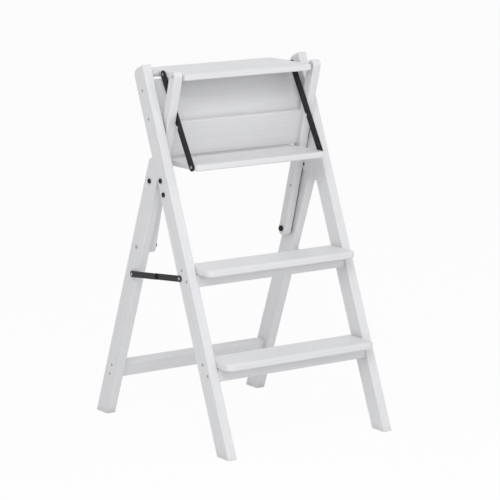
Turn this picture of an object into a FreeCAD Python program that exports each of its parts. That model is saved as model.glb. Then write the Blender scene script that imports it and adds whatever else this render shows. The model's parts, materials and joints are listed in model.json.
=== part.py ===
import FreeCAD, Part
import os
os.makedirs("parts", exist_ok=True)
from math import cos, hypot, pi, radians, sin, tan

# Folding step stool chair in painted wood, with black steel fittings. Millimetres.
# The origin lies on the floor at the centre, x runs to the right, y to the back, z up.
# A side view point is a pair (y, z). Both sides are alike, mirrored about x = 0.

# Overall stance
WIDTH = 476.0
STANCE_DEPTH = 596.0
STILE_TOP_HEIGHT = 890.0
STILE_LEAN = radians(21.75)
LEG_LEAN = radians(21.6)

# Wood sections
STILE_THICKNESS = 24.0
STILE_WIDTH = 46.0
STILE_TOP_RADIUS = 18.0
LEG_WIDTH = 48.5
LEG_TIP_RADIUS = 9.0
PROP_THICKNESS = 22.0
PROP_WIDTH = 25.5
PROP_TAIL = 5.0
WOOD_EASING = 1.5

# Clearances
PLAY = 0.3
PLATE_SWEEP_PLAY = 0.5
STAY_PLAY = 0.4
LEG_BEVEL_PLAY = 1.0
PIN_PLAY = 0.05
PIN_END_PLAY = 0.5

# Steel sections
PLATE_THICKNESS = 2.5
PLATE_MARGIN = 13.0
STRAP_THICKNESS = 2.5
STRAP_WIDTH = 20.0
STRAP_NOTCH_RADIUS = 4.5
STRAP_NOTCH_RUN = 134.0
STAY_THICKNESS = 2.0
STAY_WIDTH = 15.0

# Fasteners
BOLT_RADIUS = 4.0
BOLT_HEAD_RADIUS = 7.0
BOLT_HEAD_RISE = 3.0
CAP_NUT_RADIUS = 7.5
CAP_NUT_THICKNESS = 4.5
PIN_RADIUS = 3.5
PIN_RISE = 0.4
PIN_GRIP = 18.0
PIN_BITE = 16.0
RIVET_RADIUS = 3.5
RIVET_RISE = 1.5

# Leg pivot and its hinge plate, with the plate's bolts measured up from the pivot
PIVOT_BELOW_LEG_TIP = 68.1
PIVOT_FROM_LEG_BACK = 21.3
PLATE_BOLT_DEPTH = 30.5
PLATE_BOLT_RISES = (6.4, -25.4)

# Props
PROP_FOOT_HEIGHT = 446.0

# Top board, pinned to the stiles and the props
TOP_BOARD_DROP = 18.0
TOP_BOARD_HEIGHT = STILE_TOP_HEIGHT - TOP_BOARD_DROP
TOP_BOARD_THICKNESS = 15.0
TOP_BOARD_AHEAD = 117.7
TOP_BOARD_DEPTH = 183.0
PROP_PIN_AHEAD = 102.7
PROP_PIN_RISE = 3.5
STRAP_TOP_AHEAD = 26.7
BOARD_CORNER_RADIUS = 12.0
BOARD_EASING = 2.0

# Third board, pinned to the props
THIRD_BOARD_DROP = 208.0
THIRD_BOARD_HEIGHT = TOP_BOARD_HEIGHT - THIRD_BOARD_DROP
THIRD_BOARD_THICKNESS = 15.0
THIRD_BOARD_AHEAD = 132.0
THIRD_BOARD_DEPTH = 184.0
STRAP_FOOT_BACK = 24.0

# Fixed treads, each with an apron under it
TREAD_THICKNESS = 17.0
TREAD_DEPTH = 100.0
TREAD_CORNER_RADIUS = 17.0
TREAD_EASING = 2.5
APRON_HEIGHT = 30.0
APRON_THICKNESS = 18.0
UPPER_TREAD_HEIGHT = 428.0
UPPER_TREAD_NOSE = 59.0
UPPER_APRON_BACK = 51.0
LOWER_TREAD_HEIGHT = 217.0
LOWER_TREAD_NOSE = 51.0
LOWER_APRON_BACK = 41.0

# Back panel between the stiles, above where the props pass it
PANEL_DEPTH = 17.5
PANEL_THICKNESS = 14.0
PANEL_TOP_DROP = 31.8
PANEL_ABOVE_PROPS = 37.6

# Cross board between the props, from above the third board up to the back panel
CROSS_THICKNESS = 13.0
CROSS_ABOVE_THIRD_PIN = 16.3
CROSS_BELOW_PANEL = 1.3

# Rail between the legs
RAIL_RUN = 136.0
RAIL_WIDTH = 39.0
RAIL_THICKNESS = 23.0

# Folding stays on the outer faces
STAY_STILE_HEIGHT = 398.9
STAY_STILE_DEPTH = 38.0
STAY_LEG_HEIGHT = 377.0
STAY_LEG_DEPTH = 34.0
STAY_SAG = 0.2

# Layers across the object, measured from the centre plane
OUTER_X = WIDTH / 2
STILE_X = OUTER_X - STILE_THICKNESS
LEG_X = STILE_X + PLAY
PLATE_X = STILE_X - PLATE_THICKNESS
PROP_OUTER_X = PLATE_X - PLATE_SWEEP_PLAY
PROP_X = PROP_OUTER_X - PROP_THICKNESS
STRAP_OUTER_X = PROP_X - PLAY
STRAP_X = STRAP_OUTER_X - STRAP_THICKNESS
BOARD_X = STRAP_X - PLAY
STAY_FRONT_X = OUTER_X + STAY_PLAY
STAY_REAR_X = STAY_FRONT_X + STAY_THICKNESS + PLAY


def vector(x, point):
    """Point in space from x and a side view point."""
    return FreeCAD.Vector(x, point[0], point[1])


def plan(z):
    """Placing function for outlines seen from above, at height z."""
    return lambda a, b: FreeCAD.Vector(a, b, z)


def side(x):
    """Placing function for outlines seen from the side, at x."""
    return lambda a, b: FreeCAD.Vector(x, a, b)


def outline(corners, place):
    """Face whose corners are (a, b, radius), set in space by place."""
    joints = []
    count = len(corners)
    for index, (a, b, radius) in enumerate(corners):
        here = place(a, b)
        before = place(*corners[index - 1][:2])
        after = place(*corners[(index + 1) % count][:2])
        back = (before - here).normalize()
        ahead = (after - here).normalize()
        if radius == 0:
            joints.append((here, None, here))
            continue
        half = back.getAngle(ahead) / 2
        middle = here + (back + ahead).normalize() * (radius / sin(half) - radius)
        run = radius / tan(half)
        joints.append((here + back * run, middle, here + ahead * run))
    edges = []
    for index, (start, middle, end) in enumerate(joints):
        if middle is not None:
            edges.append(Part.Arc(start, middle, end).toShape())
        edges.append(Part.makeLine(end, joints[(index + 1) % count][0]))
    return Part.Face(Part.Wire(edges))


def side_solid(corners, x0, x1):
    """Solid between x0 and x1 with the side view corners (y, z, radius)."""
    return outline(corners, side(x0)).extrude(FreeCAD.Vector(x1 - x0, 0, 0))


def plan_solid(corners, z0, z1):
    """Solid between z0 and z1 with the plan corners (x, y, radius)."""
    return outline(corners, plan(z0)).extrude(FreeCAD.Vector(0, 0, z1 - z0))


def distance(start, end):
    """Length between two side view points."""
    return hypot(end[0] - start[0], end[1] - start[1])


def heading(start, end):
    """Direction from start to end in the side view, of length 1."""
    length = distance(start, end)
    return ((end[0] - start[0]) / length, (end[1] - start[1]) / length)


def along(start, end, run, off=0.0):
    """Side view point at a run from start towards end, off to the back of that line."""
    ahead = heading(start, end)
    y = start[0] + ahead[0] * run + ahead[1] * off
    z = start[1] + ahead[1] * run - ahead[0] * off
    return (y, z)


def run_of(start, end, point):
    """Run from start towards end at which a side view point lies square to that line."""
    ahead = heading(start, end)
    return (point[0] - start[0]) * ahead[0] + (point[1] - start[1]) * ahead[1]


def meeting_run(start, end, low, high):
    """Run from start towards end at which that line meets the line through low and high."""
    ahead = heading(start, end)
    other = heading(low, high)
    away = (low[0] - start[0], low[1] - start[1])
    return (away[0] * other[1] - away[1] * other[0]) / (ahead[0] * other[1] - ahead[1] * other[0])


def round_bar(start, end, width, x0, x1):
    """Flat bar with full round ends, centred on the points start and end."""
    radius = width / 2
    length = distance(start, end)
    near_front = vector(x0, along(start, end, 0, -radius))
    far_front = vector(x0, along(start, end, length, -radius))
    far_tip = vector(x0, along(start, end, length + radius))
    far_back = vector(x0, along(start, end, length, radius))
    near_back = vector(x0, along(start, end, 0, radius))
    near_tip = vector(x0, along(start, end, -radius))
    edges = [
        Part.makeLine(near_front, far_front),
        Part.Arc(far_front, far_tip, far_back).toShape(),
        Part.makeLine(far_back, near_back),
        Part.Arc(near_back, near_tip, near_front).toShape(),
    ]
    return Part.Face(Part.Wire(edges)).extrude(FreeCAD.Vector(x1 - x0, 0, 0))


def rod(centre, radius, x0, x1):
    """Cylinder along x about a side view point."""
    return Part.makeCylinder(radius, x1 - x0, vector(x0, centre), FreeCAD.Vector(1, 0, 0))


def headed_bolt(centre, x_tip, x_seat):
    """Bolt along x with a flat round head that stands out beyond x_seat."""
    shank = rod(centre, BOLT_RADIUS, x_tip, x_seat)
    return shank.fuse(rod(centre, BOLT_HEAD_RADIUS, x_seat, x_seat + BOLT_HEAD_RISE))


def mirrored(shape):
    """The same shape on the left side."""
    return shape.mirror(FreeCAD.Vector(0, 0, 0), FreeCAD.Vector(1, 0, 0))


def cut(shape, cutters):
    """Shape with each cutter taken away."""
    for cutter in cutters:
        shape = shape.cut(cutter)
    return shape


def board_across(corners, reach):
    """Board along x between both sides, with eased long edges."""
    body = side_solid([(*corner, 0) for corner in corners], -reach, reach)
    return eased(body, ACROSS, WOOD_EASING)


def cut_both_ends(shape, cutter):
    """Piece that spans both sides, with the cutter and its mirror taken away."""
    return cut(shape, [cutter, mirrored(cutter)])


def runs_with(edge, direction):
    """Whether a straight edge runs along the direction."""
    if edge.Curve.TypeId != "Part::GeomLine":
        return False
    chord = edge.Vertexes[-1].Point - edge.Vertexes[0].Point
    return abs(chord.normalize().dot(direction)) > 0.999


def eased(shape, direction, size):
    """Shape with its long edges taken off by a small chamfer."""
    return shape.makeChamfer(size, [edge for edge in shape.Edges if runs_with(edge, direction)])


def eased_faces(shape, axis, size):
    """Shape with a small chamfer on all edges that lie square to the axis."""
    edges = []
    for edge in shape.Edges:
        values = [getattr(vertex.Point, axis) for vertex in edge.Vertexes]
        if max(values) - min(values) < 1e-6:
            edges.append(edge)
    return shape.makeChamfer(size, edges)


# Places in the side view

def stile_at(run, depth):
    """Point up the stile from its front foot, and behind its front face."""
    y = -STANCE_DEPTH / 2 + run * sin(STILE_LEAN) + depth * cos(STILE_LEAN)
    return (y, run * cos(STILE_LEAN) - depth * sin(STILE_LEAN))


def stile_at_height(height, depth):
    """Point of the stile at a height above the floor."""
    return stile_at((height + depth * sin(STILE_LEAN)) / cos(STILE_LEAN), depth)


def leg_at(run, depth):
    """Point up the leg from its rear foot, and ahead of its rear face."""
    y = STANCE_DEPTH / 2 - run * sin(LEG_LEAN) - depth * cos(LEG_LEAN)
    return (y, run * cos(LEG_LEAN) - depth * sin(LEG_LEAN))


def leg_at_height(height, depth):
    """Point of the leg at a height above the floor."""
    return leg_at((height + depth * sin(LEG_LEAN)) / cos(LEG_LEAN), depth)


ACROSS = FreeCAD.Vector(1, 0, 0)
STILE_DIRECTION = FreeCAD.Vector(0, sin(STILE_LEAN), cos(STILE_LEAN))
LEG_DIRECTION = FreeCAD.Vector(0, -sin(LEG_LEAN), cos(LEG_LEAN))
STILE_LENGTH = STILE_TOP_HEIGHT / cos(STILE_LEAN)
LEG_REACH = STANCE_DEPTH * cos(STILE_LEAN) - STILE_WIDTH - LEG_BEVEL_PLAY
LEG_TIP_RUN = LEG_REACH / sin(STILE_LEAN + LEG_LEAN)

LEG_PIVOT = leg_at(LEG_TIP_RUN - PIVOT_BELOW_LEG_TIP, PIVOT_FROM_LEG_BACK)
PROP_FOOT = leg_at_height(PROP_FOOT_HEIGHT, LEG_WIDTH / 2)
TOP_BOARD_MIDDLE = TOP_BOARD_HEIGHT - TOP_BOARD_THICKNESS / 2
TOP_PIN = stile_at_height(TOP_BOARD_MIDDLE, STILE_WIDTH / 2)
PROP_HEAD = (TOP_PIN[0] - PROP_PIN_AHEAD, TOP_PIN[1] + PROP_PIN_RISE)
STRAP_HEAD = (TOP_PIN[0] - STRAP_TOP_AHEAD, TOP_PIN[1])
THIRD_BOARD_MIDDLE = THIRD_BOARD_HEIGHT - THIRD_BOARD_THICKNESS / 2
PROP_RISE = PROP_HEAD[1] - PROP_FOOT[1]
PROP_LENGTH = distance(PROP_FOOT, PROP_HEAD)
THIRD_PIN_RUN = (THIRD_BOARD_MIDDLE - PROP_FOOT[1]) / PROP_RISE * PROP_LENGTH
THIRD_PIN = along(PROP_FOOT, PROP_HEAD, THIRD_PIN_RUN)
STRAP_FOOT = (THIRD_PIN[0] - THIRD_BOARD_AHEAD + STRAP_FOOT_BACK, THIRD_BOARD_MIDDLE)
STAY_STILE = stile_at_height(STAY_STILE_HEIGHT, STAY_STILE_DEPTH)
STAY_LEG = leg_at_height(STAY_LEG_HEIGHT, STAY_LEG_DEPTH)
STAY_MIDDLE = along(STAY_STILE, STAY_LEG, distance(STAY_STILE, STAY_LEG) / 2, STAY_SAG)
PLATE_BOLTS = [stile_at_height(LEG_PIVOT[1] + rise, PLATE_BOLT_DEPTH) for rise in PLATE_BOLT_RISES]
PANEL_MIDDLE_DEPTH = PANEL_DEPTH + PANEL_THICKNESS / 2
PANEL_LINE = (stile_at(0, PANEL_MIDDLE_DEPTH), stile_at(STILE_LENGTH, PANEL_MIDDLE_DEPTH))
PANEL_LOW_RUN = meeting_run(*PANEL_LINE, PROP_FOOT, PROP_HEAD) + PANEL_ABOVE_PROPS
PANEL_TOP_RUN = STILE_LENGTH - PANEL_TOP_DROP
CROSS_LOW_RUN = THIRD_PIN_RUN + CROSS_ABOVE_THIRD_PIN
CROSS_TOP_RUN = run_of(PROP_FOOT, PROP_HEAD, stile_at(PANEL_LOW_RUN, PANEL_DEPTH)) - CROSS_BELOW_PANEL
PROP_DIRECTION = (vector(0, PROP_HEAD) - vector(0, PROP_FOOT)).normalize()


# Front frame

def stile():
    """Sloping front upright with a rounded rear top corner."""
    foot_back = stile_at_height(0, STILE_WIDTH)
    corners = [
        (*stile_at(0, 0), 0),
        (*stile_at(STILE_LENGTH, 0), 0),
        (*stile_at(STILE_LENGTH, STILE_WIDTH), STILE_TOP_RADIUS),
        (*foot_back, 0),
    ]
    body = eased(side_solid(corners, STILE_X, OUTER_X), STILE_DIRECTION, WOOD_EASING)
    holes = [rod(bolt, BOLT_RADIUS + PIN_PLAY, STILE_X - PLAY, OUTER_X + PLAY) for bolt in PLATE_BOLTS]
    holes.append(rod(TOP_PIN, BOLT_RADIUS + PIN_PLAY, STILE_X - PLAY, STILE_X + PIN_BITE + PIN_END_PLAY))
    return cut(body, holes)


def back_panel():
    """Flat board let in between the stiles, square to them."""
    back = PANEL_DEPTH + PANEL_THICKNESS
    corners = [stile_at(PANEL_LOW_RUN, PANEL_DEPTH), stile_at(PANEL_TOP_RUN, PANEL_DEPTH)]
    corners += [stile_at(PANEL_TOP_RUN, back), stile_at(PANEL_LOW_RUN, back)]
    return board_across(corners, STILE_X)


def tread_front(height, nose):
    """Y of a tread's front edge, from its nose ahead of the stile."""
    return stile_at_height(height, 0)[0] - nose


def tread(height, nose):
    """Fixed tread between the stiles, with round front corners."""
    front = tread_front(height, nose)
    back = front + TREAD_DEPTH
    corners = [(-STILE_X, front, TREAD_CORNER_RADIUS), (STILE_X, front, TREAD_CORNER_RADIUS)]
    corners += [(STILE_X, back, 0), (-STILE_X, back, 0)]
    body = plan_solid(corners, height - TREAD_THICKNESS, height)
    front_edges = []
    for edge in body.Edges:
        box = edge.BoundBox
        if box.ZLength < 1e-6 and box.YMin < front + TREAD_CORNER_RADIUS and box.YMax < back - 1:
            front_edges.append(edge)
    return body.makeChamfer(TREAD_EASING, front_edges)


def apron(height, nose, apron_back):
    """Upright board under a tread that stiffens it."""
    front = tread_front(height, nose) + apron_back
    top = height - TREAD_THICKNESS
    back = front + APRON_THICKNESS
    low = top - APRON_HEIGHT
    corners = [(front, top, 0), (front, low, WOOD_EASING), (back, low, WOOD_EASING), (back, top, 0)]
    return side_solid(corners, -STILE_X, STILE_X)


def hinge_plate():
    """Steel plate on the stile's inner face that carries the leg's pivot."""
    points = [vector(PLATE_X, place) for place in PLATE_BOLTS + [LEG_PIVOT]]
    triangle = Part.Face(Part.makePolygon(points + points[:1]))
    body = triangle.makeOffset2D(PLATE_MARGIN).extrude(FreeCAD.Vector(PLATE_THICKNESS, 0, 0))
    return body.cut(rod(LEG_PIVOT, BOLT_RADIUS + PIN_PLAY, PLATE_X - PLAY, STILE_X + PLAY))


def plate_bolt(place):
    """Bolt through the stile into the hinge plate's threaded back."""
    return headed_bolt(place, STILE_X, OUTER_X)


def leg_pivot_bolt():
    """Bolt in the hinge plate that the leg turns on."""
    return headed_bolt(LEG_PIVOT, PLATE_X, OUTER_X + PLAY)


def top_board_pin():
    """Pin let into the stile's inner face that the top board turns on."""
    return rod(TOP_PIN, BOLT_RADIUS, BOARD_X - PIN_GRIP, STILE_X + PIN_BITE)


def stay_front_rivet():
    """Rivet on the stile that the front stay link turns on."""
    return rod(STAY_STILE, RIVET_RADIUS, OUTER_X, STAY_FRONT_X + STAY_THICKNESS + RIVET_RISE)


# Rear legs

def leg():
    """Rear leg, bevelled at its top to lie along the stile."""
    front_run = LEG_TIP_RUN - LEG_WIDTH / tan(STILE_LEAN + LEG_LEAN)
    corners = [
        (*leg_at(0, 0), 0),
        (*leg_at_height(0, LEG_WIDTH), 0),
        (*leg_at(front_run, LEG_WIDTH), LEG_TIP_RADIUS),
        (*leg_at(LEG_TIP_RUN, 0), LEG_TIP_RADIUS),
    ]
    body = eased(side_solid(corners, LEG_X, OUTER_X), LEG_DIRECTION, WOOD_EASING)
    bolts = (LEG_PIVOT, PROP_FOOT)
    return cut(body, [rod(place, BOLT_RADIUS + PIN_PLAY, LEG_X - PLAY, OUTER_X + PLAY) for place in bolts])


def rear_rail():
    """Rail low between the legs, in line with them."""
    near = (LEG_WIDTH - RAIL_THICKNESS) / 2
    far = near + RAIL_THICKNESS
    low = RAIL_RUN - RAIL_WIDTH / 2
    high = RAIL_RUN + RAIL_WIDTH / 2
    return board_across([leg_at(low, near), leg_at(high, near), leg_at(high, far), leg_at(low, far)], LEG_X)


def prop_bolt():
    """Bolt through the leg that the prop's foot turns on."""
    return headed_bolt(PROP_FOOT, STRAP_OUTER_X, OUTER_X)


def prop_nut():
    """Hexagon cap nut on the prop bolt's inner end."""
    y, z = PROP_FOOT
    turns = [index * pi / 3 for index in range(6)]
    corners = [(y + CAP_NUT_RADIUS * cos(turn), z + CAP_NUT_RADIUS * sin(turn), 0) for turn in turns]
    return side_solid(corners, STRAP_OUTER_X - CAP_NUT_THICKNESS, STRAP_OUTER_X)


def stay_rear_rivet():
    """Rivet on the leg that the rear stay link turns on."""
    return rod(STAY_LEG, RIVET_RADIUS, OUTER_X, STAY_REAR_X + STAY_THICKNESS + RIVET_RISE)


# Props

def prop():
    """Inner bar from the leg up to the top board, with round ends."""
    foot = along(PROP_FOOT, PROP_HEAD, -PROP_TAIL)
    body = eased(round_bar(foot, PROP_HEAD, PROP_WIDTH, PROP_X, PROP_OUTER_X), PROP_DIRECTION, WOOD_EASING)
    holes = [rod(PROP_FOOT, BOLT_RADIUS + PIN_PLAY, PROP_X - PLAY, PROP_OUTER_X + PLAY)]
    for place in (PROP_HEAD, THIRD_PIN):
        holes.append(rod(place, PIN_RADIUS + PIN_PLAY, PROP_X - PLAY, PROP_OUTER_X + PLAY))
    return cut(body, holes)


def cross_board():
    """Board between the props, flush with their rear edges."""
    back = PROP_WIDTH / 2
    front = back - CROSS_THICKNESS
    places = [(CROSS_LOW_RUN, front), (CROSS_TOP_RUN, front), (CROSS_TOP_RUN, back), (CROSS_LOW_RUN, back)]
    return board_across([along(PROP_FOOT, PROP_HEAD, run, off) for run, off in places], PROP_X)


def prop_head_pin():
    """Pin in the prop's top end, beside the top board."""
    return rod(PROP_HEAD, PIN_RADIUS, STRAP_X, PROP_OUTER_X + PIN_RISE)


def third_board_pin():
    """Pin in the prop that the third board turns on."""
    return rod(THIRD_PIN, PIN_RADIUS, BOARD_X - PIN_GRIP, PROP_OUTER_X + PIN_RISE)


# Moving boards

def moving_board(front, depth, low, thickness):
    """Board with four round corners and eased edges."""
    back = front + depth
    corners = [(-BOARD_X, front), (BOARD_X, front), (BOARD_X, back), (-BOARD_X, back)]
    body = plan_solid([(x, y, BOARD_CORNER_RADIUS) for x, y in corners], low, low + thickness)
    return eased_faces(body, "z", BOARD_EASING)


def top_board():
    """Topmost step, pinned to the stiles."""
    front = TOP_PIN[0] - TOP_BOARD_AHEAD
    low = TOP_BOARD_HEIGHT - TOP_BOARD_THICKNESS
    body = moving_board(front, TOP_BOARD_DEPTH, low, TOP_BOARD_THICKNESS)
    hole = rod(TOP_PIN, BOLT_RADIUS + PIN_PLAY, BOARD_X - PIN_GRIP - PIN_END_PLAY, BOARD_X + PLAY)
    return cut_both_ends(body, hole)


def third_board():
    """Step below the top one, pinned to the props."""
    front = THIRD_PIN[0] - THIRD_BOARD_AHEAD
    low = THIRD_BOARD_HEIGHT - THIRD_BOARD_THICKNESS
    body = moving_board(front, THIRD_BOARD_DEPTH, low, THIRD_BOARD_THICKNESS)
    hole = rod(THIRD_PIN, PIN_RADIUS + PIN_PLAY, BOARD_X - PIN_GRIP - PIN_END_PLAY, BOARD_X + PLAY)
    return cut_both_ends(body, hole)


def strap_head_rivet():
    """Rivet on the top board's end that the strap hangs on."""
    return rod(STRAP_HEAD, RIVET_RADIUS, BOARD_X, STRAP_OUTER_X + RIVET_RISE)


# Straps

def strap():
    """Flat steel strap with a half round notch in its rear edge."""
    body = round_bar(STRAP_FOOT, STRAP_HEAD, STRAP_WIDTH, STRAP_X, STRAP_OUTER_X)
    notch_run = distance(STRAP_FOOT, STRAP_HEAD) - STRAP_NOTCH_RUN
    notch = along(STRAP_FOOT, STRAP_HEAD, notch_run, STRAP_WIDTH / 2)
    cutters = [rod(notch, STRAP_NOTCH_RADIUS, STRAP_X - PLAY, STRAP_OUTER_X + PLAY)]
    for place in (STRAP_HEAD, STRAP_FOOT):
        cutters.append(rod(place, RIVET_RADIUS + PIN_PLAY, STRAP_X - PLAY, STRAP_OUTER_X + PLAY))
    return cut(body, cutters)


def strap_foot_rivet():
    """Rivet at the strap's lower end, beside the third board."""
    return rod(STRAP_FOOT, RIVET_RADIUS, STRAP_X, STRAP_OUTER_X + RIVET_RISE)


# Folding stays

def stay_front():
    """Front link of the folding stay."""
    body = round_bar(STAY_STILE, STAY_MIDDLE, STAY_WIDTH, STAY_FRONT_X, STAY_FRONT_X + STAY_THICKNESS)
    return body.cut(rod(STAY_STILE, RIVET_RADIUS + PIN_PLAY, OUTER_X, STAY_REAR_X))


def stay_rear():
    """Rear link of the folding stay."""
    outer = STAY_REAR_X + STAY_THICKNESS
    body = round_bar(STAY_MIDDLE, STAY_LEG, STAY_WIDTH, STAY_REAR_X, outer)
    rivets = (STAY_LEG, STAY_MIDDLE)
    return cut(body, [rod(place, RIVET_RADIUS + PIN_PLAY, STAY_FRONT_X, outer + PLAY) for place in rivets])


def stay_middle_rivet():
    """Rivet where the two stay links meet, carried by the rear link."""
    return rod(STAY_MIDDLE, RIVET_RADIUS, STAY_REAR_X, STAY_REAR_X + STAY_THICKNESS + RIVET_RISE)


def save(name, shape):
    """Write one sub-part's file."""
    shape.exportStep(os.path.join("parts", name + ".step"))


def save_sides(name, shape):
    """Write a right hand piece and its left hand mirror."""
    save("right_" + name, shape)
    save("left_" + name, mirrored(shape))


def save_group(name, shapes):
    """Write like fasteners of both sides as one group of solids."""
    save(name, Part.makeCompound(list(shapes) + [mirrored(shape) for shape in shapes]))


save_sides("stile", stile())
save("back_panel", back_panel())
save("upper_tread", tread(UPPER_TREAD_HEIGHT, UPPER_TREAD_NOSE))
save("upper_apron", apron(UPPER_TREAD_HEIGHT, UPPER_TREAD_NOSE, UPPER_APRON_BACK))
save("lower_tread", tread(LOWER_TREAD_HEIGHT, LOWER_TREAD_NOSE))
save("lower_apron", apron(LOWER_TREAD_HEIGHT, LOWER_TREAD_NOSE, LOWER_APRON_BACK))
save_sides("hinge_plate", hinge_plate())
save_group("hinge_plate_bolts", [plate_bolt(place) for place in PLATE_BOLTS])
save_group("leg_pivot_bolts", [leg_pivot_bolt()])
save_group("top_board_pins", [top_board_pin()])
save_group("stay_front_rivets", [stay_front_rivet()])

save_sides("rear_leg", leg())
save("rear_rail", rear_rail())
save_group("prop_bolts", [prop_bolt()])
save_group("prop_nuts", [prop_nut()])
save_group("stay_rear_rivets", [stay_rear_rivet()])

save_sides("prop", prop())
save("cross_board", cross_board())
save_group("prop_head_pins", [prop_head_pin()])
save_group("third_board_pins", [third_board_pin()])

save("top_board", top_board())
save_group("strap_head_rivets", [strap_head_rivet()])
save("third_board", third_board())
save_sides("strap", strap())
save_group("strap_foot_rivets", [strap_foot_rivet()])

save_sides("stay_front_link", stay_front())
save_sides("stay_rear_link", stay_rear())
save_group("stay_middle_rivets", [stay_middle_rivet()])
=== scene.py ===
"""Looks of a folding step stool chair: white painted wood with black steel fittings and zinc screws."""
import json
import logging
import math
from dataclasses import dataclass
from enum import Enum
from typing import Optional

import bmesh
import bpy
from mathutils import Matrix, Vector


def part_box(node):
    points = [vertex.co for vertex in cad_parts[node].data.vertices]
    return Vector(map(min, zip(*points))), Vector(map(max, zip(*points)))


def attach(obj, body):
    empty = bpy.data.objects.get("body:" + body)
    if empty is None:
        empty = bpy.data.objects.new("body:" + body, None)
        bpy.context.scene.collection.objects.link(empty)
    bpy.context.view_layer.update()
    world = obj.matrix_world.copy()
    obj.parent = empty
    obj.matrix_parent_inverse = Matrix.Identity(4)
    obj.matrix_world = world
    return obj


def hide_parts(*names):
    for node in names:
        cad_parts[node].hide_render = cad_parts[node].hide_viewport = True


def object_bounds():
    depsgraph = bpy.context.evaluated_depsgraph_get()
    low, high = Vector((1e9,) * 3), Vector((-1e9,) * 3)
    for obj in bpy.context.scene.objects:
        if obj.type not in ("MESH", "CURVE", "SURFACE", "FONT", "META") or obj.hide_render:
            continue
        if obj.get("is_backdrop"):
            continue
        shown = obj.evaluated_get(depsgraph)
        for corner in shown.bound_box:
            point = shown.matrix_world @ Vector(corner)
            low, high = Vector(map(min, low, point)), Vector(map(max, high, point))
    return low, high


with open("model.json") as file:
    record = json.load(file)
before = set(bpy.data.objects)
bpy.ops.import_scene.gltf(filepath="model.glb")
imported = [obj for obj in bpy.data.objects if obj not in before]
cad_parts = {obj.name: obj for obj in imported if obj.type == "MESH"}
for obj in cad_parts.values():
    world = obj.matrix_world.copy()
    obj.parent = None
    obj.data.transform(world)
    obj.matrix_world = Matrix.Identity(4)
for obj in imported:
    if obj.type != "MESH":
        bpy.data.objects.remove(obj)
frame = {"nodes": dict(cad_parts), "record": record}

logging.basicConfig(level=logging.INFO, format="%(message)s")
LOG = logging.getLogger("step_stool")
Colour = tuple[float, float, float]
Span = tuple[float, float]
Profile = tuple[tuple[float, float], ...]
WHITE: Colour = (1.0, 1.0, 1.0)
WHOLE: Span = (0.0, 1.0)
NOISE: Span = (0.3, 0.7)
SIXTH_TURN = math.pi / 3
QUARTER_TURN = math.pi / 2
FULL_TURN = 2 * math.pi
SAME_POINT = 1e-6


class Slot(Enum):
    """Material slots of the record."""

    PAINT = "white_paint"
    ENAMEL = "white_steel"
    BLACK = "black_steel"
    ZINC = "zinc_steel"


class Run(Enum):
    """Way the grain runs in a piece of wood, as its lean from the upright in degrees; None lies along x."""

    ACROSS = None
    STILE = 21.75
    LEG = -21.6
    PROP = -16.67

    def turn(self) -> tuple[float, float, float]:
        """Rotation that brings the grain onto the third axis."""
        if self is Run.ACROSS:
            return (0.0, -QUARTER_TURN, 0.0)
        return (math.radians(self.value), 0.0, 0.0)


def rgba(colour: Colour) -> tuple[float, float, float, float]:
    """Colour with full opacity."""
    return (*colour, 1.0)


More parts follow.
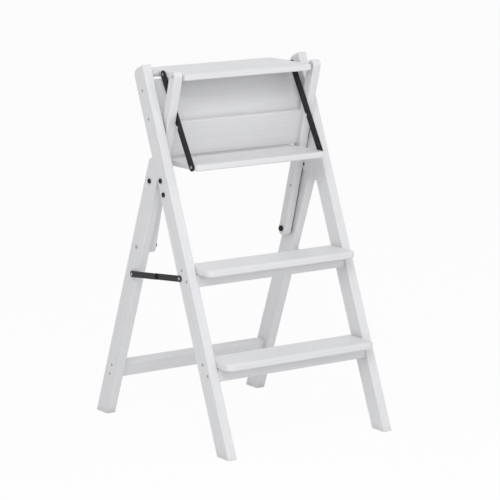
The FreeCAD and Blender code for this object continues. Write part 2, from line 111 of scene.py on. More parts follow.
class NodeSheet:
    """Node tree that is written one node at a time."""

    def __init__(self, tree: bpy.types.NodeTree) -> None:
        """Start on an empty tree.

        Args:
            tree: the node tree to fill.
        """
        self.tree = tree
        self.tree.nodes.clear()

    def add(self, kind: str, settings: Optional[dict] = None, **inputs: object) -> bpy.types.Node:
        """Add a node and fill its inputs.

        Args:
            kind: Blender's name of the node type.
            settings: properties of the node itself.
            inputs: values or sockets, by input name with underscores for spaces.

        Returns:
            The new node.
        """
        node = self.tree.nodes.new(kind)
        for name, value in (settings or {}).items():
            setattr(node, name, value)
        for name, value in inputs.items():
            self.feed(node.inputs[name.replace("_", " ")], value)
        return node

    def feed(self, socket: bpy.types.NodeSocket, value: object) -> None:
        """Link a socket to the input, or set its value.

        Args:
            socket: the input to fill.
            value: a source socket or a plain value.
        """
        if isinstance(value, bpy.types.NodeSocket):
            self.tree.links.new(value, socket)
        else:
            socket.default_value = value

    def pair(self, node: bpy.types.Node, *values: object) -> bpy.types.Node:
        """Fill a node's inputs in their order.

        Args:
            node: the node to fill.
            values: values or sockets, from the first input on.

        Returns:
            The same node.
        """
        for index, value in enumerate(values):
            self.feed(node.inputs[index], value)
        return node

    def maths(
        self, operation: str, first: object, second: object, clamp: bool = False
    ) -> bpy.types.NodeSocket:
        """Result of a two input sum.

        Args:
            operation: Blender's name of the sum.
            first: first value or socket.
            second: second value or socket.
            clamp: whether the result is held between 0 and 1.

        Returns:
            The result's socket.
        """
        node = self.add("ShaderNodeMath", {"operation": operation, "use_clamp": clamp})
        return self.pair(node, first, second).outputs[0]

    def blend(self, factor: object, first: object, second: object) -> bpy.types.NodeSocket:
        """Colour between two colours.

        Args:
            factor: share of the second colour.
            first: colour or socket at 0.
            second: colour or socket at 1.

        Returns:
            The blended colour's socket.
        """
        node = self.add("ShaderNodeMix", {"data_type": "RGBA"})
        self.feed(node.inputs[0], factor)
        self.feed(node.inputs[6], first)
        self.feed(node.inputs[7], second)
        return node.outputs[2]

    def band(self, value: object, taken: Span, given: Span) -> bpy.types.NodeSocket:
        """Value carried from one range into another, held at its ends.

        Args:
            value: the socket to carry over.
            taken: lowest and highest value that comes in.
            given: what goes out for these two.

        Returns:
            The carried value's socket.
        """
        return self.pair(self.add("ShaderNodeMapRange"), value, *taken, *given).outputs[0]

    def mixed(
        self, factor: object, first: bpy.types.Node, second: bpy.types.Node
    ) -> bpy.types.NodeSocket:
        """Shader between two shaders.

        Args:
            factor: share of the second shader.
            first: shader node at 0.
            second: shader node at 1.

        Returns:
            The mixed shader's socket.
        """
        node = self.add("ShaderNodeMixShader")
        return self.pair(node, factor, first.outputs[0], second.outputs[0]).outputs[0]


class MaterialSheet(NodeSheet):
    """Node tree of one new material."""

    def __init__(self, name: str) -> None:
        """Start a material.

        Args:
            name: the material's name.
        """
        self.material = bpy.data.materials.new(name)
        self.material.use_nodes = True
        super().__init__(self.material.node_tree)

    def effect(self, tree: bpy.types.NodeTree, **inputs: object) -> bpy.types.Node:
        """Add one of the shared effects.

        Args:
            tree: the effect's node group.
            inputs: values or sockets, by input name.

        Returns:
            The group's node.
        """
        return self.add("ShaderNodeGroup", {"node_tree": tree}, **inputs)

    def close(self, surface: bpy.types.NodeSocket) -> bpy.types.Material:
        """Send a shader to the surface.

        Args:
            surface: the shader's socket.

        Returns:
            The finished material.
        """
        self.add("ShaderNodeOutputMaterial", Surface=surface)
        return self.material


class EffectGroups:
    """Shader node groups that more than one material uses."""

    streak_span: Span = (0.35, 0.68)
    fine_streak_gain: float = 6.5
    broken_joint_shade: Span = (0.55, 1.0)

    def __init__(self) -> None:
        """Build each group once."""
        self.streaks = self._streaks()
        self.edges = self._edges()
        self.joint_shade = self._joint_shade()
        self.speckle = self._speckle()

    @staticmethod
    def _group(
        name: str, inputs: dict, outputs: dict
    ) -> tuple[NodeSheet, bpy.types.Node, bpy.types.Node]:
        """Start a group with named inputs and outputs.

        Args:
            name: the group's name.
            inputs: input names with their default, a number or None for a vector.
            outputs: output names with their socket type.

        Returns:
            The sheet, the group's input node and its output node.
        """
        tree = bpy.data.node_groups.new(name, "ShaderNodeTree")
        for label, default in inputs.items():
            kind = "NodeSocketVector" if default is None else "NodeSocketFloat"
            socket = tree.interface.new_socket(label, in_out="INPUT", socket_type=kind)
            if default is not None:
                socket.default_value = default
        for label, kind in outputs.items():
            tree.interface.new_socket(label, in_out="OUTPUT", socket_type=kind)
        sheet = NodeSheet(tree)
        return sheet, sheet.add("NodeGroupInput"), sheet.add("NodeGroupOutput")

    def _streaks(self) -> bpy.types.NodeTree:
        """Long soft streaks of wood grain that run along the third axis of Vector."""
        sheet, given, out = self._group(
            "Grain Streaks", {"Vector": None, "Fineness": 90.0, "Stretch": 0.05},
            {"Streaks": "NodeSocketFloat", "Relief": "NodeSocketFloat"})
        squeeze = sheet.add("ShaderNodeCombineXYZ", X=1.0, Y=1.0, Z=given.outputs["Stretch"])
        drawn = sheet.pair(sheet.add("ShaderNodeVectorMath", {"operation": "MULTIPLY"}),
                           given.outputs["Vector"], squeeze.outputs[0])
        broad = sheet.add("ShaderNodeTexNoise", Vector=drawn.outputs[0], Scale=given.outputs["Fineness"],
                          Detail=5.0, Roughness=0.62, Distortion=0.35)
        finer = sheet.maths("MULTIPLY", given.outputs["Fineness"], self.fine_streak_gain)
        fine = sheet.add("ShaderNodeTexNoise", Vector=drawn.outputs[0], Scale=finer,
                         Detail=3.0, Roughness=0.7)
        both = sheet.maths("MULTIPLY", broad.outputs["Fac"], fine.outputs["Fac"])
        sheet.feed(out.inputs["Streaks"], sheet.band(broad.outputs["Fac"], self.streak_span, WHOLE))
        sheet.feed(out.inputs["Relief"], both)
        return sheet.tree

    def _edges(self) -> bpy.types.NodeTree:
        """Mask of the edges, and a normal that is rounded over them."""
        sheet, given, out = self._group(
            "Edge Rounding", {"Radius": 0.0015, "Gain": 4.0},
            {"Mask": "NodeSocketFloat", "Normal": "NodeSocketVector"})
        rounded = sheet.add("ShaderNodeBevel", {"samples": 6}, Radius=given.outputs["Radius"])
        plain = sheet.add("ShaderNodeNewGeometry")
        turn = sheet.pair(sheet.add("ShaderNodeVectorMath", {"operation": "DOT_PRODUCT"}),
                          rounded.outputs[0], plain.outputs["True Normal"])
        away = sheet.maths("SUBTRACT", 1.0, turn.outputs["Value"])
        mask = sheet.maths("MULTIPLY", away, given.outputs["Gain"], clamp=True)
        sheet.feed(out.inputs["Mask"], mask)
        sheet.feed(out.inputs["Normal"], rounded.outputs[0])
        return sheet.tree

    def _joint_shade(self) -> bpy.types.NodeTree:
        """Mask of painted shade in the corners where pieces meet, from ambient occlusion, broken up by soft
        noise.
        """
        sheet, given, out = self._group(
            "Painted Joint Shade", {"Vector": None, "Reach": 0.02, "Amount": 1.0}, {"Mask": "NodeSocketFloat"})
        # painted shade: ambient occlusion darkens the colour where parts meet
        shade = sheet.add("ShaderNodeAmbientOcclusion", {"samples": 4}, Distance=given.outputs["Reach"])
        closed = sheet.maths("SUBTRACT", 1.0, shade.outputs["AO"])
        cloud = sheet.add("ShaderNodeTexNoise", Vector=given.outputs["Vector"], Scale=34.0, Detail=4.0)
        broken = sheet.maths("MULTIPLY", closed, sheet.band(cloud.outputs["Fac"], NOISE, self.broken_joint_shade))
        mask = sheet.maths("MULTIPLY", broken, given.outputs["Amount"], clamp=True)
        sheet.feed(out.inputs["Mask"], mask)
        return sheet.tree

    def _speckle(self) -> bpy.types.NodeTree:
        """Fine even texture, as of sprayed paint or powder coat."""
        sheet, given, out = self._group(
            "Spray Speckle", {"Vector": None, "Fineness": 900.0},
            {"Speckle": "NodeSocketFloat", "Cloud": "NodeSocketFloat"})
        fine = sheet.add("ShaderNodeTexNoise", Vector=given.outputs["Vector"],
                         Scale=given.outputs["Fineness"], Detail=2.0, Roughness=0.55)
        broad = sheet.add("ShaderNodeTexNoise", Vector=given.outputs["Vector"], Scale=11.0, Detail=3.0)
        sheet.feed(out.inputs["Speckle"], fine.outputs["Fac"])
        sheet.feed(out.inputs["Cloud"], sheet.band(broad.outputs["Fac"], NOISE, WHOLE))
        return sheet.tree


@dataclass(frozen=True)
class PaintedWood:
    """Satin white paint through which the grain of the wood just shows, with a painted highlight along its
    edges and painted shade in the joints.
    """

    top: Colour = (0.78, 0.78, 0.79)
    streak: Colour = (0.715, 0.715, 0.73)
    # colour of the painted shade in the joints where parts meet
    joint_shade: Colour = (0.46, 0.45, 0.45)
    # colour of the painted highlight along the rounded edges
    edge: Colour = (0.83, 0.83, 0.835)
    streak_share: float = 0.55
    edge_share: float = 0.5
    joint_shade_amount: float = 0.8
    roughness: Span = (0.38, 0.52)
    spray_share: float = 0.12
    relief: float = 0.16
    relief_depth: float = 0.0005

    def material(self, groups: EffectGroups, run: Run) -> bpy.types.Material:
        """Paint for wood whose grain runs one way.

        Args:
            groups: the shared effects.
            run: the way the grain runs.

        Returns:
            The finished material.
        """
        sheet = MaterialSheet(f"Painted Wood {run.name.title()}")
        place = sheet.add("ShaderNodeTexCoord").outputs["Object"]
        turned = sheet.add("ShaderNodeMapping", Vector=place, Rotation=run.turn())
        grain = sheet.effect(groups.streaks, Vector=turned.outputs[0])
        edges = sheet.effect(groups.edges)
        joint_shade = sheet.effect(groups.joint_shade, Vector=place, Amount=self.joint_shade_amount)
        spray = sheet.effect(groups.speckle, Vector=place)
        streaky = sheet.maths("MULTIPLY", grain.outputs["Streaks"], self.streak_share)
        colour = sheet.blend(streaky, rgba(self.top), rgba(self.streak))
        # painted highlight: the edges are lighter than the faces
        wear_and_highlight_share = sheet.maths("MULTIPLY", edges.outputs["Mask"], self.edge_share)
        colour = sheet.blend(wear_and_highlight_share, colour, rgba(self.edge))
        # painted shade: darker in the joints where parts meet
        colour = sheet.blend(joint_shade.outputs["Mask"], colour, rgba(self.joint_shade))
        rough = sheet.band(spray.outputs["Cloud"], WHOLE, self.roughness)
        sprayed = sheet.maths("MULTIPLY", spray.outputs["Speckle"], self.spray_share)
        height = sheet.maths("ADD", grain.outputs["Relief"], sprayed)
        bump = sheet.add("ShaderNodeBump", Strength=self.relief, Distance=self.relief_depth,
                         Height=height, Normal=edges.outputs["Normal"])
        shader = sheet.add("ShaderNodeBsdfPrincipled", Base_Color=colour, Roughness=rough,
                           Normal=bump.outputs[0])
        return sheet.close(shader.outputs[0])


@dataclass(frozen=True)
class CoatedSteel:
    """Satin powder coat, lighter along its edges: worn on the black coat, a painted highlight on the white
    coat.
    """

    name: str = "Black Coated Steel"
    coat: Colour = (0.009, 0.009, 0.012)
    cloud: Colour = (0.016, 0.016, 0.020)
    # lighter edge colour: real wear on the black coat, a painted highlight on the white coat
    edge_wear_and_highlight: Colour = (0.12, 0.12, 0.125)
    specular: float = 0.25
    fineness: float = 1500.0
    edge_radius: float = 0.0005
    edge_gain: float = 3.0
    edge_share: float = 0.35
    roughness: Span = (0.34, 0.5)
    relief: float = 0.22
    relief_depth: float = 0.0002

    def material(self, groups: EffectGroups) -> bpy.types.Material:
        """Coat of the straps, stays, plates and bolts.

        Args:
            groups: the shared effects.

        Returns:
            The finished material.
        """
        sheet = MaterialSheet(self.name)
        place = sheet.add("ShaderNodeTexCoord").outputs["Object"]
        spray = sheet.effect(groups.speckle, Vector=place, Fineness=self.fineness)
        edges = sheet.effect(groups.edges, Radius=self.edge_radius, Gain=self.edge_gain)
        colour = sheet.blend(spray.outputs["Cloud"], rgba(self.coat), rgba(self.cloud))
        wear_and_highlight_share = sheet.maths("MULTIPLY", edges.outputs["Mask"], self.edge_share)
        colour = sheet.blend(wear_and_highlight_share, colour, rgba(self.edge_wear_and_highlight))
        rough = sheet.band(spray.outputs["Speckle"], NOISE, self.roughness)
        bump = sheet.add("ShaderNodeBump", Strength=self.relief, Distance=self.relief_depth,
                         Height=spray.outputs["Speckle"], Normal=edges.outputs["Normal"])
        shader = sheet.add("ShaderNodeBsdfPrincipled", Base_Color=colour, Roughness=rough,
                           Normal=bump.outputs[0], Specular_IOR_Level=self.specular)
        return sheet.close(shader.outputs[0])


@dataclass(frozen=True)
class ZincPlate:
    """Brushed zinc of the screws and pins, dulled in patches, with painted shade in their recesses and where
    they meet the wood.
    """

    bright: Colour = (0.56, 0.56, 0.58)
    dull: Colour = (0.36, 0.36, 0.375)
    # colour of the painted shade in the recesses and where the heads meet the wood
    recess_shade: Colour = (0.05, 0.05, 0.05)
    fineness: float = 2200.0
    recess_shade_reach: float = 0.002
    recess_shade_amount: float = 0.9
    roughness: Span = (0.28, 0.5)
    relief: float = 0.15
    relief_depth: float = 0.0001

    def material(self, groups: EffectGroups) -> bpy.types.Material:
        """Grey metal finish of the small fasteners.

        Args:
            groups: the shared effects.

        Returns:
            The finished material.
        """
        sheet = MaterialSheet("Zinc Plated Steel")
        place = sheet.add("ShaderNodeTexCoord").outputs["Object"]
        spray = sheet.effect(groups.speckle, Vector=place, Fineness=self.fineness)
        recess_shade = sheet.effect(groups.joint_shade, Vector=place, Reach=self.recess_shade_reach, Amount=self.recess_shade_amount)
        colour = sheet.blend(spray.outputs["Speckle"], rgba(self.bright), rgba(self.dull))
        # painted shade: darker in the recesses and where the heads meet the wood
        colour = sheet.blend(recess_shade.outputs["Mask"], colour, rgba(self.recess_shade))
        rough = sheet.band(spray.outputs["Speckle"], NOISE, self.roughness)
        bump = sheet.add("ShaderNodeBump", Strength=self.relief, Distance=self.relief_depth,
                         Height=spray.outputs["Speckle"])
        shader = sheet.add("ShaderNodeBsdfPrincipled", Base_Color=colour, Roughness=rough,
                           Normal=bump.outputs[0], Metallic=1.0)
        return sheet.close(shader.outputs[0])


class Finishes:
    """All materials of the object, each made once."""

    def __init__(self) -> None:
        """Build the shared effects and then each finish."""
        groups = EffectGroups()
        paint = PaintedWood()
        # the white coat's lighter edge colour is a painted highlight
        enamel = CoatedSteel(name="White Coated Steel", coat=(0.76, 0.76, 0.77),
                             cloud=(0.72, 0.72, 0.735), edge_wear_and_highlight=(0.81, 0.81, 0.82), specular=0.5)
        self.paint = {run: paint.material(groups, run) for run in Run}
        self.by_slot = {
            Slot.PAINT: self.paint[Run.ACROSS],
            Slot.BLACK: CoatedSteel().material(groups),
            Slot.ENAMEL: enamel.material(groups),
            Slot.ZINC: ZincPlate().material(groups),
        }

    @staticmethod
    def dress(piece: bpy.types.Object, material: bpy.types.Material) -> None:
        """Give a piece one material all over.

        Args:
            piece: the piece to dress.
            material: what it wears.
        """
        piece.data.materials.clear()
        piece.data.materials.append(material)


@dataclass
class FrameWood:
    """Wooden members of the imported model, with the way their grain runs."""

    stiles: tuple[str, ...] = ("right_stile", "left_stile")
    legs: tuple[str, ...] = ("right_rear_leg", "left_rear_leg")
    props: tuple[str, ...] = ("right_prop", "left_prop")
    boards: tuple[str, ...] = ("back_panel", "upper_tread", "upper_apron", "lower_tread", "lower_apron",
                               "rear_rail", "cross_board", "top_board", "third_board")

    def dress(self, finishes: Finishes) -> None:
        """Paint every wooden member.

        Args:
            finishes: the object's materials.
        """
        runs = {Run.STILE: self.stiles, Run.LEG: self.legs, Run.PROP: self.props, Run.ACROSS: self.boards}
        for run, names in runs.items():
            for name in names:
                finishes.dress(frame["nodes"][name], finishes.paint[run])
                LOG.info("painted %s", name)


@dataclass
class Fittings:
    """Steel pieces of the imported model."""

    wooden_slot: Slot = Slot.PAINT

    def dress(self, finishes: Finishes) -> None:
        """Coat or plate every steel piece, by the record's slots.

        Args:
            finishes: the object's materials.
        """
        for row in frame["record"]["subparts"]:
            name, slot = row["node"], Slot(row["material_slot"])
            if slot is not self.wooden_slot:
                finishes.dress(frame["nodes"][name], finishes.by_slot[slot])
                LOG.info("coated %s", name)


@dataclass(frozen=True)
class TurnedHead:
    """Round form about the x axis, made as rings, with a hexagon recess where it has a depth."""

    profile: Profile
    hollow: bool = False
    recess_depth: float = 0.0
    recess_reach: float = 0.0
    steps: int = 48

    def recess_radius(self, turn: float) -> float:
        """Distance from the middle to the recess's wall, in a direction in radians."""
        return self.recess_reach / math.cos(turn % SIXTH_TURN - SIXTH_TURN / 2)

    def ring(
        self, mesh: bmesh.types.BMesh, place: Vector, side: float, reach: Optional[float], rise: float
    ) -> list[bmesh.types.BMVert]:
        """Add one ring of points.

        Args:
            mesh: the mesh that takes it.
            place: middle of the head's seat.
            side: 1 for a head that faces right and -1 for one that faces left.
            reach: the ring's radius, or None for the recess's outline.
            rise: the ring's height over the seat.

        Returns:
            The ring's vertices.
        """
        points = []
        for step in range(self.steps):
            turn = FULL_TURN * step / self.steps
            radius = self.recess_radius(turn) if reach is None else reach
            offset = Vector((side * rise, radius * math.cos(turn), radius * math.sin(turn)))
            points.append(mesh.verts.new(place + offset))
        return points

    def add_to(self, mesh: bmesh.types.BMesh, place: Vector, side: float) -> None:
        """Add one head to a mesh.

        Args:
            mesh: the mesh that takes it.
            place: middle of the head's seat.
            side: 1 for a head that faces right and -1 for one that faces left.
        """
        rings = [self.ring(mesh, place, side, radius, rise) for radius, rise in self.profile]
        top = self.profile[-1][1]
        if self.recess_depth:
            rings.append(self.ring(mesh, place, side, None, top))
            rings.append(self.ring(mesh, place, side, None, top - self.recess_depth))
        pairs = list(zip(rings, rings[1:]))
        if self.hollow:
            pairs.append((rings[-1], rings[0]))
        for near, far in pairs:
            for step in range(self.steps):
                after = (step + 1) % self.steps
                mesh.faces.new((near[step], near[after], far[after], far[step]))
        if not self.hollow:
            mesh.faces.new(rings[0])
            mesh.faces.new(rings[-1])


@dataclass(frozen=True)
class ScrewHead:
    """Low round head of a wood screw with a cross recess, made as rings."""

    radius: float = 0.004
    rise: float = 0.0007
    dome_power: int = 4
    recess_depth: float = 0.0006
    recess_reach: float = 0.0024
    recess_half_width: float = 0.00055
    rings: int = 12
    steps: int = 40

    def height(self, across: float, up: float) -> float:
        """Height of the head over its seat.

        Args:
            across: place across the head, from its middle.
            up: place up the head, from its middle.

        Returns:
            The height in metres.
        """
        share = math.hypot(across, up) / self.radius
        dome = self.rise * (1.0 - share ** self.dome_power)
        arm, reach = sorted((abs(across), abs(up)))
        if arm < self.recess_half_width and reach < self.recess_reach:
            return dome - self.recess_depth
        return dome

    def add_to(self, mesh: bmesh.types.BMesh, place: Vector, side: float) -> None:
        """Add one head to a mesh.

        Args:
            mesh: the mesh that takes it.
            place: middle of the head's seat.
            side: 1 for a head that faces right and -1 for one that faces left.
        """
        middle = mesh.verts.new(place + Vector((side * self.height(0.0, 0.0), 0.0, 0.0)))
        inner: list[bmesh.types.BMVert] = []
        for ring in range(1, self.rings + 1):
            reach = self.radius * ring / self.rings
            outer = []
            for step in range(self.steps):
                turn = FULL_TURN * step / self.steps
                across, up = reach * math.cos(turn), reach * math.sin(turn)
                offset = Vector((side * self.height(across, up), across, up))
                outer.append(mesh.verts.new(place + offset))
            for step in range(self.steps):
                after = (step + 1) % self.steps
                if inner:
                    mesh.faces.new((inner[step], inner[after], outer[after], outer[step]))
                else:
                    mesh.faces.new((middle, outer[after], outer[step]))
            inner = outer
        mesh.faces.new(inner)


@dataclass
class Workshop:
    """Maker of the scene's own pieces, which gives each its body and the finish of its slot."""

    finishes: Finishes

    def place(self, name: str, data: bpy.types.Mesh, body: str, slot: Slot) -> bpy.types.Object:
        """Put a mesh into the scene as a piece.

        Args:
            name: the piece's name.
            data: its mesh.
            body: the body that it rides on.
            slot: the record's slot of its finish.

        Returns:
            The new piece.
        """
        piece = bpy.data.objects.new(name, data)
        bpy.context.scene.collection.objects.link(piece)
        self.finishes.dress(piece, self.finishes.by_slot[slot])
        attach(piece, body)
        LOG.info("made %s", name)
        return piece

    def build(
        self, name: str, body: str, slot: Slot, head: TurnedHead | ScrewHead, seats: list[Vector],
        facing: float = 1.0,
    ) -> bpy.types.Object:
        """Make a group of like heads, with their mirror images.

        Args:
            name: the piece's name.
            body: the body that it rides on.
            slot: the record's slot of its finish.
            head: the form of each head.
            seats: right hand seats, which are mirrored.
            facing: 1 for heads that face outwards and -1 for inwards.

        Returns:
            The new piece.
        """
        mesh = bmesh.new()
        for seat in seats:
            head.add_to(mesh, seat, facing)
            head.add_to(mesh, Vector((-seat.x, seat.y, seat.z)), -facing)
        bmesh.ops.recalc_face_normals(mesh, faces=mesh.faces)
        data = bpy.data.meshes.new(name)
        mesh.to_mesh(data)
        mesh.free()
        return self.place(name, data, body, slot)


def middle_of(node: str) -> Vector:
    """Middle of a node's box."""
    low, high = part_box(node)
    return (low + high) / 2


def inner_end(node: str) -> float:
    """Lowest x of a node's right hand half."""
    return min(vert.co.x for vert in frame["nodes"][node].data.vertices if vert.co.x > 0)


def solid_middles(node: str) -> list[Vector]:
    """Middles of the separate right hand solids of a node.

    Args:
        node: a node that groups like fasteners.

    Returns:
        One point for each solid with x above 0, from the lowest up.
    """
    mesh = bmesh.new()
    mesh.from_mesh(frame["nodes"][node].data)
    bmesh.ops.remove_doubles(mesh, verts=mesh.verts, dist=SAME_POINT)
    waiting = set(mesh.verts)
    middles = []
    while waiting:
        stack = [waiting.pop()]
        island = list(stack)
        while stack:
            for edge in stack.pop().link_edges:
                for vert in edge.verts:
                    if vert in waiting:
                        waiting.discard(vert)
                        stack.append(vert)
                        island.append(vert)
        spans = [[vert.co[axis] for vert in island] for axis in range(3)]
        middles.append(Vector([(min(span) + max(span)) / 2 for span in spans]))
    mesh.free()
    return sorted((point for point in middles if point.x > 0), key=lambda point: point.z)


def along_board(board: str, shares: tuple[float, ...]) -> list[Vector]:
    """Points on the long line through a leaning board's end.

    Args:
        board: node of the board.
        shares: places from its middle, as shares of its width.

    Returns:
        One point for each share.
    """
    middle = middle_of(board)
    points = [vert.co - middle for vert in frame["nodes"][board].data.vertices]
    points = [Vector((0.0, point.y, point.z)) for point in points]
    farthest = max(points, key=lambda point: point.z)
    top = [point for point in points if point.dot(farthest) > 0 and point.z > 0]
    line = 2 * sum(top, Vector()) / len(top)
    return [middle + line * share for share in shares]


def tube_profile(bore: float, radius: float, depth: float, edge: float) -> Profile:
    """Profile of a short tube with eased outer edges.

    Args:
        bore: radius of its hole.
        radius: its outer radius.
        depth: its length.
        edge: how far its outer edges are cut back.

    Returns:
        Pairs of radius and height.
    """
    return (
        (bore, 0.0),
        (radius - edge, 0.0),
        (radius, edge),
        (radius, depth - edge),
        (radius - edge, depth),
        (bore, depth),
    )


@dataclass
class CrossBoard:
    """Cross board made a little wider along the props, nearer to the back panel and the third board."""

    workshop: Workshop
    node: str = "cross_board"
    lift: float = 0.006
    drop: float = 0.004

    def build(self) -> None:
        """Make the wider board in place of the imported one."""
        data = frame["nodes"][self.node].data.copy()
        middle, above = along_board(self.node, (0.0, 1.0))
        rise = (above - middle).normalized()
        for vert in data.vertices:
            vert.co += rise * (self.lift if (vert.co - middle).dot(rise) > 0 else -self.drop)
        piece = self.workshop.place("wide_" + self.node, data, "props", Slot.PAINT)
        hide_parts(self.node)


@dataclass
class WoodScrews:
    """Screws through the uprights into the ends of the boards between them."""

    workshop: Workshop
    head: ScrewHead = ScrewHead()
    panel_shares: Span = (-0.39, 0.27)
    rail_shares: Span = (-0.345, 0.345)
    cross_shares: Span = (-0.285, 0.285)
    upper_tread_back: float = 0.0195
    lower_tread_back: float = 0.0288
    prop_screw_ahead: float = 0.0065
    prop_screw_rise: float = 0.114

    def build(self) -> None:
        """Make the screws of every fixed board, and the small one on each prop."""
        stile, leg, prop = (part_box(node)[1].x for node in ("right_stile", "right_rear_leg", "right_prop"))
        upper = [self.from_back("upper_tread", self.upper_tread_back)]
        lower = [self.from_back("lower_tread", self.lower_tread_back)]
        rows = (
            ("panel_screws", "front_frame", stile, along_board("back_panel", self.panel_shares)),
            ("upper_tread_screws", "front_frame", stile, upper),
            ("upper_apron_screws", "front_frame", stile, [middle_of("upper_apron")]),
            ("lower_tread_screws", "front_frame", stile, lower),
            ("lower_apron_screws", "front_frame", stile, [middle_of("lower_apron")]),
            ("rail_screws", "rear_legs", leg, along_board("rear_rail", self.rail_shares)),
            ("cross_board_screws", "props", prop, along_board("cross_board", self.cross_shares)),
        )
        for name, body, face, points in rows:
            seats = [Vector((face, point.y, point.z)) for point in points]
            self.workshop.build(name, body, Slot.ZINC, self.head, seats)
        self.workshop.build("prop_screws", "props", Slot.ZINC, self.head, [self.prop_seat()], -1.0)

    def prop_seat(self) -> Vector:
        """Seat of the small screw on the prop's inner face, above its foot."""
        low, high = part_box("right_prop")
        foot = middle_of("prop_nuts")
        share = self.prop_screw_rise / (high.z - foot.z)
        y = foot.y + (middle_of("prop_head_pins").y - foot.y) * share - self.prop_screw_ahead
        return Vector((low.x, y, foot.z + self.prop_screw_rise))

    @staticmethod
    def from_back(board: str, distance: float) -> Vector:
        """Point at a board's middle height, ahead of its rear edge."""
        return Vector((0.0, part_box(board)[1].y - distance, middle_of(board).z))


@dataclass(frozen=True)
class BoltForm:
    """Round head with an eased rim and a hexagon socket, on a plain shank."""

    head_radius: float = 0.006
    head_rise: float = 0.003
    shank_radius: float = 0.004
    round_off: float = 0.0012
    round_steps: int = 6
    socket_reach: float = 0.0026
    socket_depth: float = 0.0019

    def turned(self, length: float) -> TurnedHead:
        """Form of one bolt with its shank.

        Args:
            length: the shank's length.

        Returns:
            The turned form, with its seat at the head's underside.
        """
        rows = [(self.shank_radius, -length), (self.shank_radius, 0.0), (self.head_radius, 0.0)]
        rim = self.head_rise - self.round_off
        flat = self.head_radius - 2 * self.round_off
        for step in range(self.round_steps + 1):
            turn = QUARTER_TURN * step / self.round_steps
            rows.append((flat + 2 * self.round_off * math.cos(turn), rim + self.round_off * math.sin(turn)))
        return TurnedHead(tuple(rows), recess_depth=self.socket_depth, recess_reach=self.socket_reach)


@dataclass
class TurnedFasteners:
    """Round bolts and rivets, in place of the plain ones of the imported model."""

    workshop: Workshop
    bolt: BoltForm = BoltForm()
    prop_bolt: BoltForm = BoltForm(head_radius=0.0046, head_rise=0.0014, round_off=0.0008,
                                   socket_reach=0.0019, socket_depth=0.0010)
    rivet: BoltForm = BoltForm(head_radius=0.0036, head_rise=0.0015, shank_radius=0.0034,
                               round_off=0.0007, socket_depth=0.0)
    middle_rivet: BoltForm = BoltForm(head_radius=0.0046, head_rise=0.0015, shank_radius=0.0034,
                                      round_off=0.0007, socket_depth=0.0)
    packed_bolt_rise: float = 0.003
    packed_rivet_rise: float = 0.0015

    def build(self) -> None:
        """Make the bolts and rivets of each node, which the new piece replaces."""
        rows = (
            ("hinge_plate_bolts", "front_frame", Slot.BLACK, self.bolt, self.packed_bolt_rise),
            ("leg_pivot_bolts", "front_frame", Slot.BLACK, self.bolt, self.packed_bolt_rise),
            ("prop_bolts", "rear_legs", Slot.ZINC, self.prop_bolt, self.packed_bolt_rise),
            ("strap_head_rivets", "top_board", Slot.ZINC, self.rivet, self.packed_rivet_rise),
            ("strap_foot_rivets", "straps", Slot.ZINC, self.rivet, self.packed_rivet_rise),
            ("stay_front_rivets", "front_frame", Slot.ZINC, self.rivet, self.packed_rivet_rise),
            ("stay_rear_rivets", "rear_legs", Slot.ZINC, self.rivet, self.packed_rivet_rise),
            ("stay_middle_rivets", "stay_rear_links", Slot.BLACK, self.middle_rivet, self.packed_rivet_rise),
        )
        for node, body, slot, form, rise in rows:
            seat_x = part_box(node)[1].x - rise
            seats = [Vector((seat_x, point.y, point.z)) for point in solid_middles(node)]
            head = form.turned(seat_x - inner_end(node))
            piece = self.workshop.build("turned_" + node, body, slot, head, seats)
            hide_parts(node)


@dataclass
class FootWashers:
    """Washers that hold each prop's foot off the leg, and the domes of the cap nuts."""

    workshop: Workshop
    washer_radius: float = 0.010
    bore_radius: float = 0.0042
    play: float = 0.0003
    edge: float = 0.0004
    dome_radius: float = 0.0060
    dome_rise: float = 0.0032
    dome_steps: int = 8

    def build(self) -> None:
        """Make the washers and the nut domes."""
        middle = middle_of("prop_nuts")
        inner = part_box("right_prop")[1].x + self.play
        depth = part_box("right_rear_leg")[0].x - inner
        washer = TurnedHead(tube_profile(self.bore_radius, self.washer_radius, depth, self.edge), True)
        seat = Vector((inner, middle.y, middle.z))
        self.workshop.build("foot_washers", "rear_legs", Slot.BLACK, washer, [seat])
        rows = [(self.dome_radius, 0.0)]
        for step in range(1, self.dome_steps):
            turn = QUARTER_TURN * step / self.dome_steps
            rows.append((self.dome_radius * math.cos(turn), self.dome_rise * math.sin(turn)))
        seat = Vector((inner_end("prop_nuts"), middle.y, middle.z))
        self.workshop.build("nut_domes", "rear_legs", Slot.BLACK, TurnedHead(tuple(rows)), [seat], -1.0)


@dataclass
class PinSpacers:
    """Pale round spacers on the top board's pins, between the board's ends and the stiles."""

    workshop: Workshop
    radius: float = 0.0070
    bore_radius: float = 0.0041
    play: float = 0.0004
    edge: float = 0.0010

    def build(self) -> None:
        """Make the spacers."""
        middle = middle_of("top_board_pins")
        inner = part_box("top_board")[1].x + self.play
        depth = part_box("right_stile")[0].x - self.play - inner
        spacer = TurnedHead(tube_profile(self.bore_radius, self.radius, depth, self.edge), True)
        seat = Vector((inner, middle.y, middle.z))
        self.workshop.build("pin_spacers", "top_board", Slot.PAINT, spacer, [seat])


@dataclass(frozen=True)
class Lamp:
    """Square area lamp that looks at the middle of the object."""

    name: str
    place: tuple[float, float, float]
    power: float
    size: float

    def build(self) -> None:
        """Make the lamp."""
        data = bpy.data.lights.new(self.name, "AREA")
        data.energy = self.power
        data.size = self.size
        lamp = bpy.data.objects.new(self.name, data)
        low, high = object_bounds()
        lamp.location = self.place
        lamp.rotation_mode = "QUATERNION"
        lamp.rotation_quaternion = (Vector(self.place) - (low + high) / 2).to_track_quat("Z", "Y")
        bpy.context.scene.collection.objects.link(lamp)


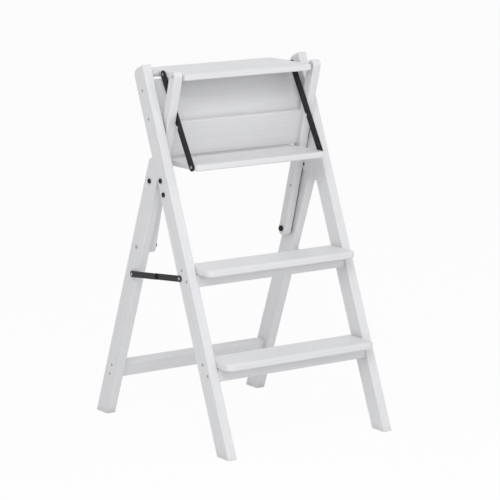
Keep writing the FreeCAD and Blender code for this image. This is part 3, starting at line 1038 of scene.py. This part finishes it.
@dataclass
class Studio:
    """Pale floor, white surround and soft lamps."""

    floor_size: float = 40.0
    floor_paint: Colour = (0.9, 0.9, 0.9)
    shadow_share: float = 0.07
    sky: Colour = (0.97, 0.98, 1.0)
    sky_strength: float = 0.62
    lamps: tuple[Lamp, ...] = (
        Lamp("Key", (-1.9, -2.4, 3.3), power=51.0, size=2.2),
        Lamp("Front", (-0.7, -3.0, 1.7), power=15.0, size=1.8),
        Lamp("Fill", (3.4, -1.2, 1.8), power=8.0, size=2.4),
    )

    def build(self) -> None:
        """Make the floor, the world and the lamps."""
        self._floor()
        self._world()
        for lamp in self.lamps:
            lamp.build()

    @staticmethod
    def _seen(sheet: NodeSheet, *rays: str) -> bpy.types.NodeSocket:
        """Whether a ray is of one of some kinds.

        Args:
            sheet: the node tree that asks.
            rays: the kinds, as outputs of the Light Path node.

        Returns:
            A socket that is 1 for these rays and 0 for others.
        """
        path = sheet.add("ShaderNodeLightPath")
        seen = path.outputs[rays[0]]
        for ray in rays[1:]:
            seen = sheet.maths("ADD", seen, path.outputs[ray], clamp=True)
        return seen

    def _floor(self) -> None:
        """Make a floor that shows white and keeps a faint shadow."""
        half = self.floor_size / 2
        data = bpy.data.meshes.new("floor")
        corners = [(-half, -half, 0.0), (half, -half, 0.0), (half, half, 0.0), (-half, half, 0.0)]
        data.from_pydata(corners, [], [(0, 1, 2, 3)])
        floor = bpy.data.objects.new("floor", data)
        bpy.context.scene.collection.objects.link(floor)
        floor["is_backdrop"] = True
        sheet = MaterialSheet("Studio Floor")
        matt = sheet.add("ShaderNodeBsdfDiffuse", Color=rgba(self.floor_paint))
        glow = sheet.add("ShaderNodeEmission", Color=rgba(WHITE), Strength=1.0)
        seen = self._seen(sheet, "Is Camera Ray", "Is Glossy Ray")
        share = sheet.maths("MULTIPLY", seen, 1.0 - self.shadow_share, clamp=True)
        Finishes.dress(floor, sheet.close(sheet.mixed(share, matt, glow)))

    def _world(self) -> None:
        """Make a world that is white to the eye and softer as a light."""
        world = bpy.data.worlds.new("Studio")
        world.use_nodes = True
        bpy.context.scene.world = world
        sheet = NodeSheet(world.node_tree)
        soft = sheet.add("ShaderNodeBackground", Color=rgba(self.sky), Strength=self.sky_strength)
        white = sheet.add("ShaderNodeBackground", Color=rgba(WHITE), Strength=1.0)
        seen = self._seen(sheet, "Is Camera Ray", "Is Glossy Ray", "Is Transmission Ray")
        sheet.add("ShaderNodeOutputWorld", Surface=sheet.mixed(seen, soft, white))


@dataclass
class PhotoCamera:
    """Camera at the photograph's viewing angle."""

    yaw: float = -34.12
    pitch: float = 10.77
    roll: float = 0.36
    focal_pixels: float = 2529.13
    distance: float = 6.13383
    aim: tuple[float, float, float] = (0.0, -0.028, 0.430)
    offset_pixels: tuple[float, float] = (-3.07, 0.17)
    photo_pixels: float = 500.0
    sensor: float = 36.0
    nearest: float = 0.1
    farthest: float = 100.0

    def build(self) -> None:
        """Make the camera and use it for the scene."""
        yaw, pitch = math.radians(self.yaw), math.radians(self.pitch)
        back = Vector((math.sin(yaw) * math.cos(pitch), -math.cos(yaw) * math.cos(pitch), math.sin(pitch)))
        data = bpy.data.cameras.new("Photo Camera")
        data.sensor_width = self.sensor
        data.lens = self.focal_pixels / self.photo_pixels * self.sensor
        data.shift_x = -self.offset_pixels[0] / self.photo_pixels
        data.shift_y = self.offset_pixels[1] / self.photo_pixels
        data.clip_start = self.nearest
        data.clip_end = self.farthest
        camera = bpy.data.objects.new("Photo Camera", data)
        bpy.context.scene.collection.objects.link(camera)
        level = (-back).to_track_quat("-Z", "Y").to_matrix()
        turn = Matrix.Rotation(math.radians(-self.roll), 3, "Z")
        camera.rotation_mode = "QUATERNION"
        camera.rotation_quaternion = (level @ turn).to_quaternion()
        camera.location = Vector(self.aim) + back * self.distance
        bpy.context.scene.camera = camera


def main() -> None:
    """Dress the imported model, add the scene's own pieces and set the studio up."""
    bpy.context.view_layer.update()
    finishes = Finishes()
    FrameWood().dress(finishes)
    Fittings().dress(finishes)
    workshop = Workshop(finishes)
    CrossBoard(workshop).build()
    WoodScrews(workshop).build()
    TurnedFasteners(workshop).build()
    FootWashers(workshop).build()
    PinSpacers(workshop).build()
    Studio().build()
    PhotoCamera().build()
    bpy.context.scene.view_settings.view_transform = "Standard"


if __name__ == "__main__":
    main()
